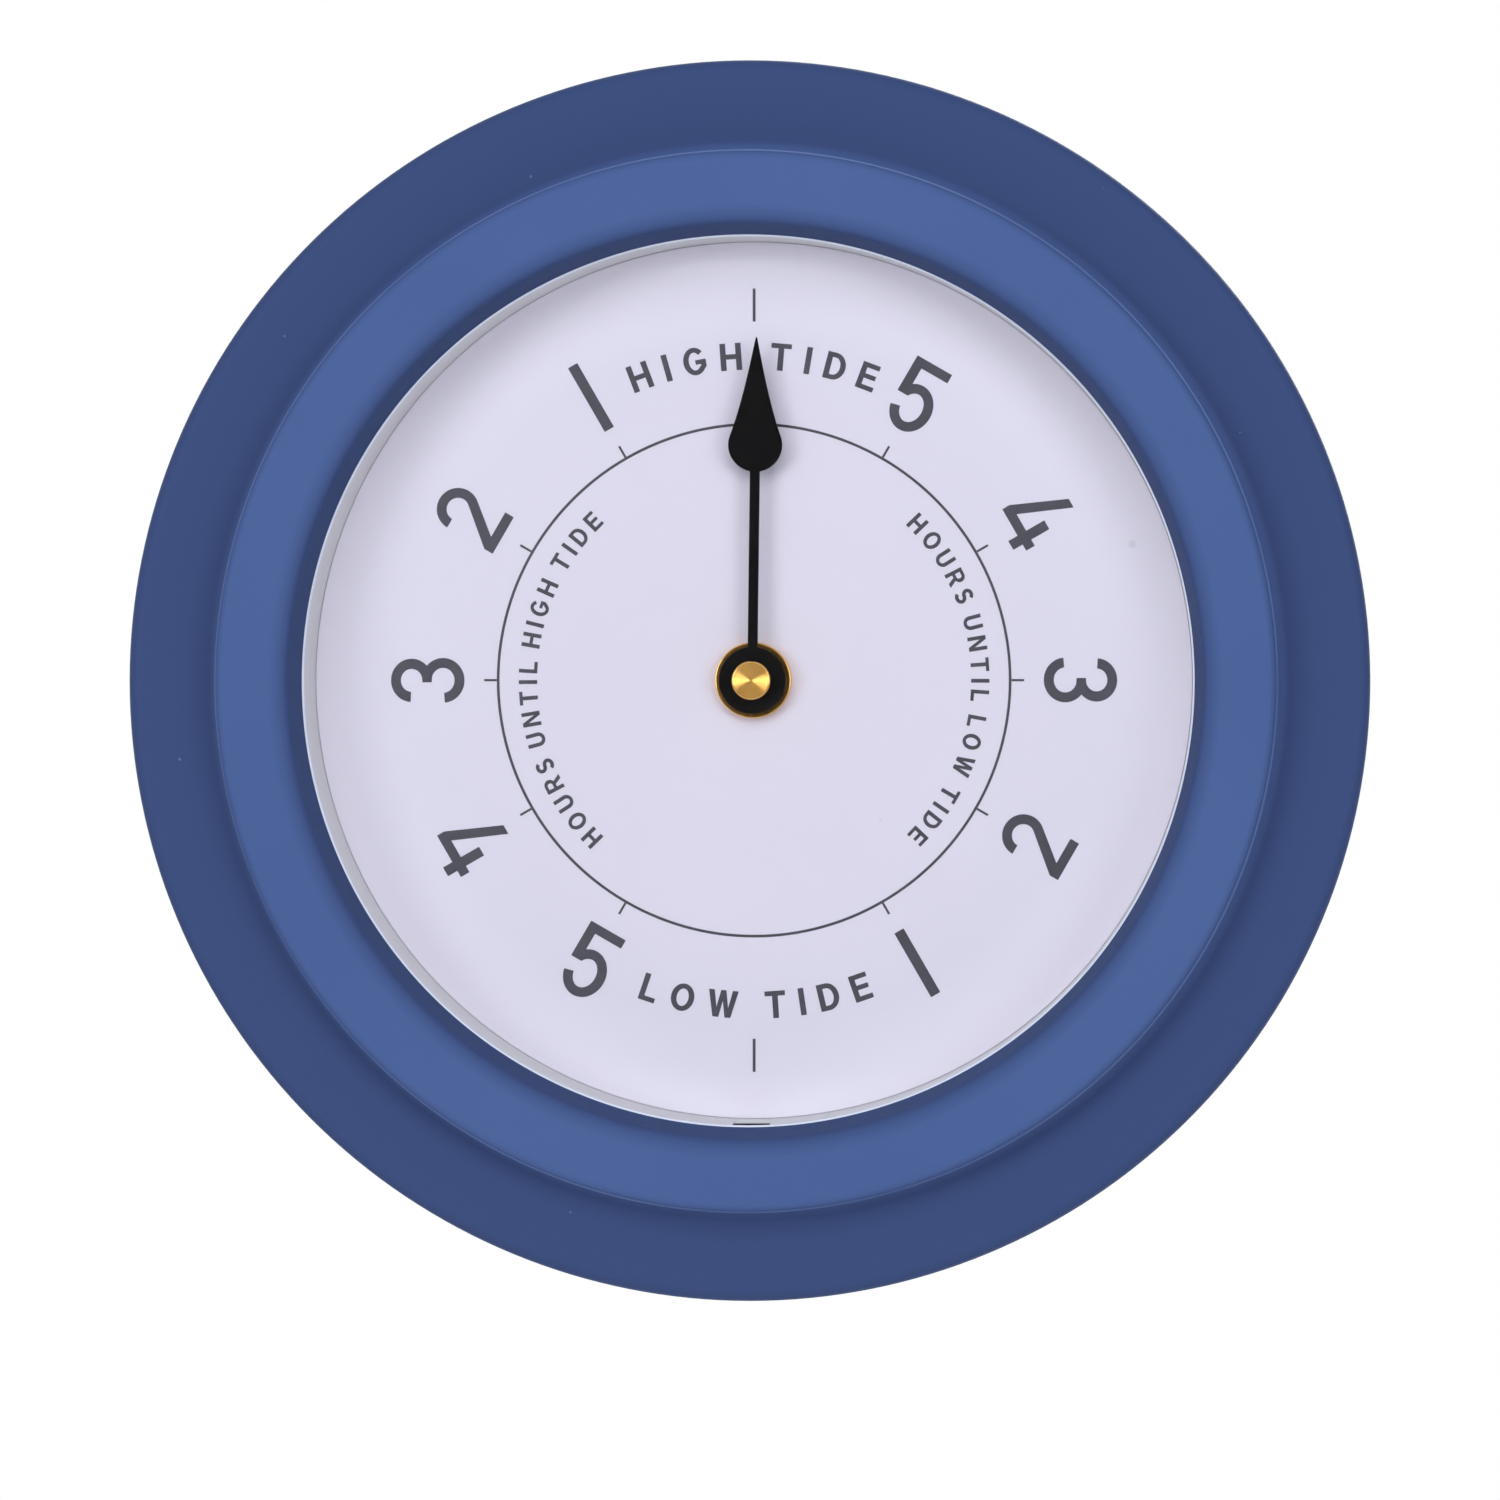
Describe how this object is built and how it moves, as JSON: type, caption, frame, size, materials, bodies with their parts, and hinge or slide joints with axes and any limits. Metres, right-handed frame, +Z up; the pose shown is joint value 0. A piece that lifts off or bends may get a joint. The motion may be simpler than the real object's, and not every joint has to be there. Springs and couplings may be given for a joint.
{
  "type": "outdoor wall clock",
  "caption": "Round outdoor wall clock with a stepped painted steel front, glass, a tide dial, a spade hand on a quartz movement and a closed back with a keyhole hanger.",
  "frame": {"origin": "point of the hanger's slot that bears on the wall nail, in the wall plane", "axes": "+Z up, +Y into the wall, the dial faces -Y and +X is to the viewer's right"},
  "size_m": [0.27, 0.0465, 0.27],
  "materials": {
    "paint": "satin powder coat",
    "glass": "clear",
    "silicone": "matt",
    "white_plastic": "satin",
    "dial": "printed satin",
    "black_plastic": "fine spark texture",
    "black_rubber": "matt",
    "zinc_steel": "zinc plated",
    "brass": "turned",
    "gear_plastic": "moulded",
    "magnet": "sintered",
    "copper": "enamelled wire",
    "board": "lacquered",
    "cell": "plain sleeve",
    "hand_black": "satin black"
  },
  "bodies": {
    "case": {"case_front": "paint", "glass_lens": "glass", "lens_gasket": "silicone", "dial_pan": "white_plastic", "dial_sheet": "dial", "back_cover": "black_plastic", "hanger_plate": "zinc_steel", "movement_case": "black_plastic", "movement_cover": "black_plastic", "train_plate": "black_plastic", "bush_washer": "black_rubber", "dial_nut": "brass", "stator": "zinc_steel", "coil_core": "zinc_steel", "coil_bobbin": "gear_plastic", "coil_winding": "copper", "circuit_board": "board", "chip": "black_plastic", "quartz_crystal": "zinc_steel", "battery": "cell", "contact_plus": "zinc_steel", "contact_minus": "zinc_steel", "stud_nut_1": "zinc_steel", "cover_screw_1": "zinc_steel", "stud_nut_2": "zinc_steel", "cover_screw_2": "zinc_steel", "stud_nut_3": "zinc_steel", "cover_screw_3": "zinc_steel", "stud_nut_4": "zinc_steel", "cover_screw_4": "zinc_steel", "hanger_rivet_1": "zinc_steel", "hanger_rivet_2": "zinc_steel"},
    "hand": {"tide_hand": "hand_black", "hand_hub": "brass", "cap_nut": "brass", "hand_arbor": "brass", "clutch_washer": "brass"},
    "knob": {"setting_knob": "gear_plastic"},
    "rotor": {"rotor": "magnet"},
    "lid": {"battery_lid": "black_plastic", "lid_seal": "black_rubber"},
    "fifth_wheel": {"fifth_wheel": "gear_plastic"},
    "fourth_wheel": {"fourth_wheel": "gear_plastic"},
    "third_wheel": {"third_wheel": "gear_plastic"},
    "second_wheel": {"second_wheel": "gear_plastic"},
    "centre_wheel": {"centre_wheel": "gear_plastic"}
  },
  "joints": [
    {"name": "hand_turn", "type": "hinge", "parent": "case", "child": "hand", "pos_m": [0, 0, -0.1], "axis": [0, 1, 0], "continuous": true},
    {"name": "knob_turn", "type": "hinge", "parent": "case", "child": "knob", "pos_m": [-0.00786, 0, -0.10551], "axis": [0, 1, 0], "continuous": true},
    {"name": "rotor_turn", "type": "hinge", "parent": "case", "child": "rotor", "pos_m": [0.01776, 0, -0.09491], "axis": [0, 1, 0], "continuous": true},
    {"name": "fifth_wheel_turn", "type": "hinge", "parent": "case", "child": "fifth_wheel", "pos_m": [0.00995, 0, -0.09041], "axis": [0, 1, 0], "continuous": true},
    {"name": "fourth_wheel_turn", "type": "hinge", "parent": "case", "child": "fourth_wheel", "pos_m": [0.00222, 0, -0.08499], "axis": [0, 1, 0], "continuous": true},
    {"name": "third_wheel_turn", "type": "hinge", "parent": "case", "child": "third_wheel", "pos_m": [-0.00721, 0, -0.08842], "axis": [0, 1, 0], "continuous": true},
    {"name": "second_wheel_turn", "type": "hinge", "parent": "case", "child": "second_wheel", "pos_m": [-0.01261, 0, -0.09778], "axis": [0, 1, 0], "continuous": true},
    {"name": "centre_wheel_turn", "type": "hinge", "parent": "case", "child": "centre_wheel", "pos_m": [0, 0, -0.1], "axis": [0, 1, 0], "continuous": true},
    {"name": "lid_pull", "type": "slide", "parent": "case", "child": "lid", "axis": [0, 1, 0], "range_m": [0, 0.03]}
  ],
  "couplings": [
    {"joint": "knob_turn", "follows": "hand_turn", "ratio": -3},
    {"joint": "fifth_wheel_turn", "follows": "rotor_turn", "ratio": -0.15217},
    {"joint": "fourth_wheel_turn", "follows": "rotor_turn", "ratio": 0.020485},
    {"joint": "third_wheel_turn", "follows": "rotor_turn", "ratio": -0.0027576},
    {"joint": "second_wheel_turn", "follows": "rotor_turn", "ratio": 0.00036421},
    {"joint": "centre_wheel_turn", "follows": "rotor_turn", "ratio": -0.000044728}
  ]
}
